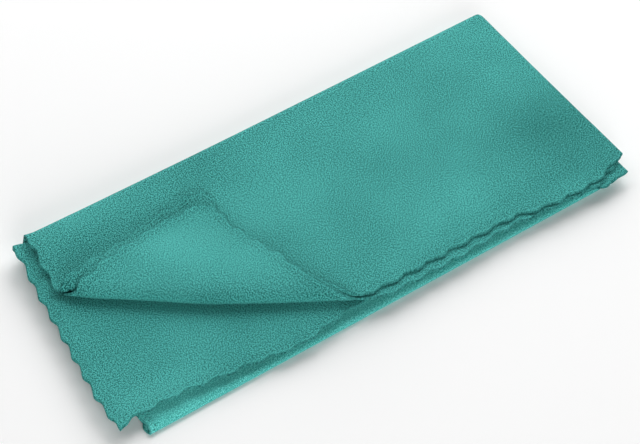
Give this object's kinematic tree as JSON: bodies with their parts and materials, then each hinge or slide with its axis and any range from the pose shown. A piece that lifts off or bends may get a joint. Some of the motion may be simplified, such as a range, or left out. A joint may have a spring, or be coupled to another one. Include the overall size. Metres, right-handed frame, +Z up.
{
  "type": "folded travel towel",
  "caption": "Thin microfibre travel towel with a wave-cut edge, folded to an oblong pack of flat layers with one corner of the top layers rolled back.",
  "frame": {"origin": "centre of the pack's footprint, on the surface that it rests on", "axes": "+X along the pack's length towards its end fold, +Y across it towards its far side's folds, +Z up through the layers"},
  "size_m": [0.2162, 0.098, 0.0174],
  "materials": {
    "cloth": "matte pebbled microfibre in one teal green, with a smooth heat-cut edge"
  },
  "bodies": {
    "root": {"towel": "cloth"}
  },
  "joints": []
}
